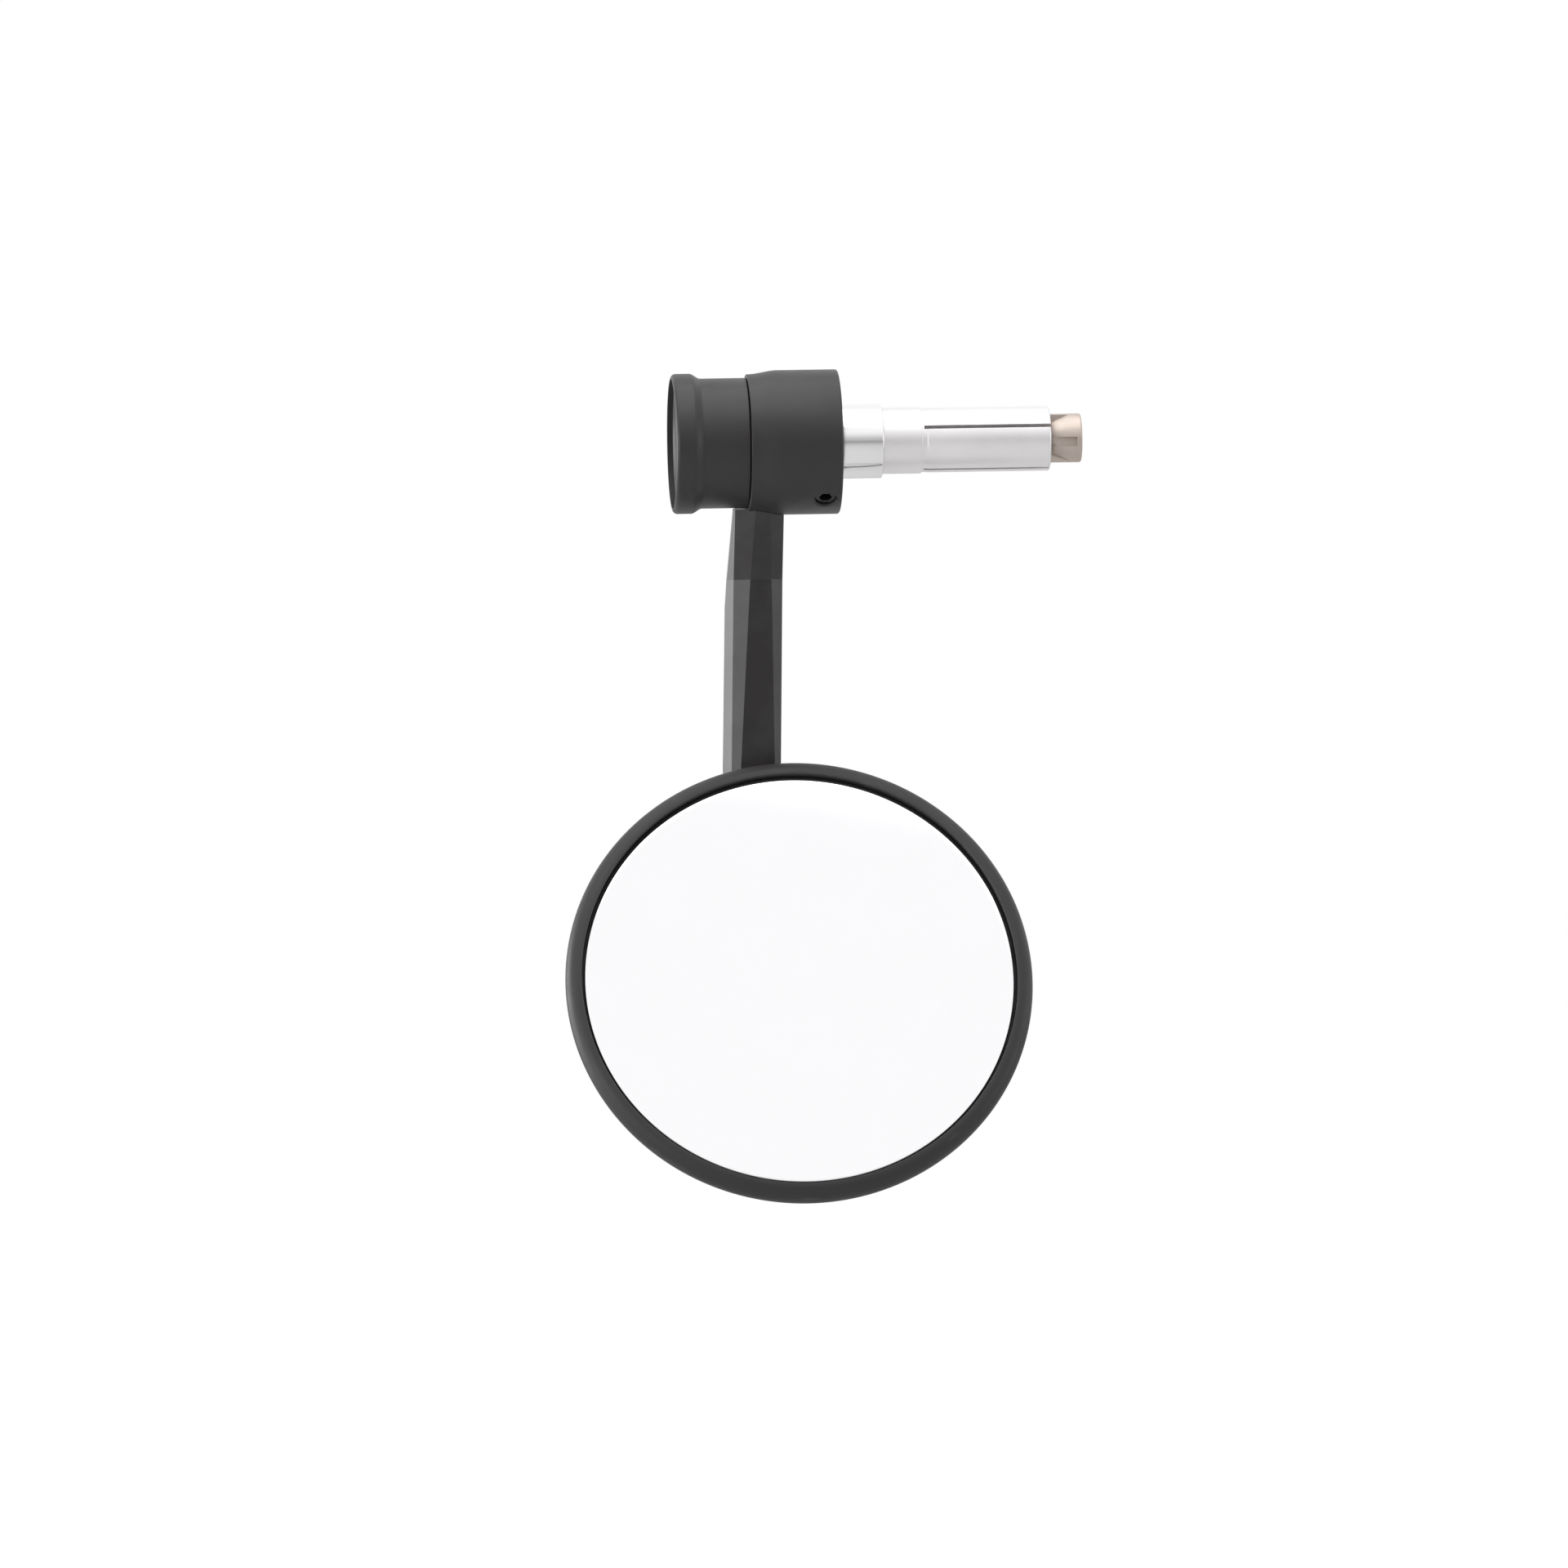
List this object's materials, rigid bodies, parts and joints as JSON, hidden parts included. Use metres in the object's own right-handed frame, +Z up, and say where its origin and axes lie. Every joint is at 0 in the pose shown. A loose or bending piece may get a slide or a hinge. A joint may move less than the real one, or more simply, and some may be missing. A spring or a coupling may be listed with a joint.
{
  "type": "motorcycle bar end mirror",
  "caption": "Round convex mirror on a ball joint, hung on a faceted stem from a clamp ring and end weight that expand inside a handlebar end.",
  "frame": {"origin": "on the bar axis, at the seat of the expander sleeve, where the spacer collar ends", "axes": "+X along the bar axis towards the expanding plug, +Z up, the glass looks towards -Y"},
  "size_m": [0.1171, 0.064, 0.1821],
  "materials": {
    "black_matt": "matt black anodised",
    "black_satin": "satin black anodised",
    "black_shell": "matt dark grey coating",
    "zinc_steel": "bright zinc plate",
    "bright_steel": "turned and polished",
    "black_steel": "black oxide",
    "plate_steel": "rolled",
    "polished_alloy": "turned and polished",
    "satin_alloy": "satin drawn",
    "bronze": "machined",
    "mirror_glass": "silvered, convex",
    "gasket_rubber": "matt",
    "foam_pad": "closed cell foam",
    "cup_plastic": "moulded"
  },
  "bodies": {
    "mount": {"end_weight": "black_matt", "face_disc": "black_matt", "bolt_washer": "zinc_steel", "lock_washer": "zinc_steel", "spacer_collar": "polished_alloy", "expander_sleeve": "satin_alloy"},
    "draw_bolt": {"draw_bolt": "zinc_steel"},
    "cone": {"expander_cone": "bronze"},
    "arm": {"clamp_ring": "black_matt", "grub_screw": "black_steel", "stem": "black_satin", "stem_screw": "black_steel", "stem_dowel": "bright_steel", "ball_stud": "bright_steel", "stud_washer": "zinc_steel", "stud_nut": "zinc_steel"},
    "rear_cup": {"rear_cup": "cup_plastic"},
    "front_cup": {"front_cup": "cup_plastic"},
    "head": {"head_shell": "black_shell", "mirror_glass": "mirror_glass", "glass_gasket": "gasket_rubber", "glass_pad": "foam_pad", "clamp_plate": "plate_steel", "plate_screws": "black_steel"}
  },
  "joints": [
    {"name": "bolt_turn", "type": "hinge", "parent": "mount", "child": "draw_bolt", "pos_m": [0, 0, 0], "axis": [1, 0, 0], "range_deg": [0, 1080]},
    {"name": "cone_draw", "type": "slide", "parent": "mount", "child": "cone", "axis": [-1, 0, 0], "range_m": [0, 0.0024]},
    {"name": "arm_swing", "type": "hinge", "parent": "mount", "child": "arm", "pos_m": [0, 0, 0], "axis": [1, 0, 0], "continuous": true},
    {"name": "head_turn", "type": "hinge", "parent": "arm", "child": "rear_cup", "pos_m": [-0.0218, -0.0125, -0.1226], "axis": [0, 0, 1], "range_deg": [-10, 10]},
    {"name": "head_lean", "type": "hinge", "parent": "rear_cup", "child": "front_cup", "pos_m": [-0.0218, -0.0125, -0.1226], "axis": [0.9998, -0.0175, 0], "range_deg": [-5, 20]},
    {"name": "head_spin", "type": "hinge", "parent": "front_cup", "child": "head", "pos_m": [-0.0218, -0.0125, -0.1226], "axis": [-0.0163, -0.9322, 0.3616], "continuous": true}
  ],
  "couplings": [
    {"joint": "cone_draw", "follows": "bolt_turn", "m_per_rad": 0.00012732}
  ]
}
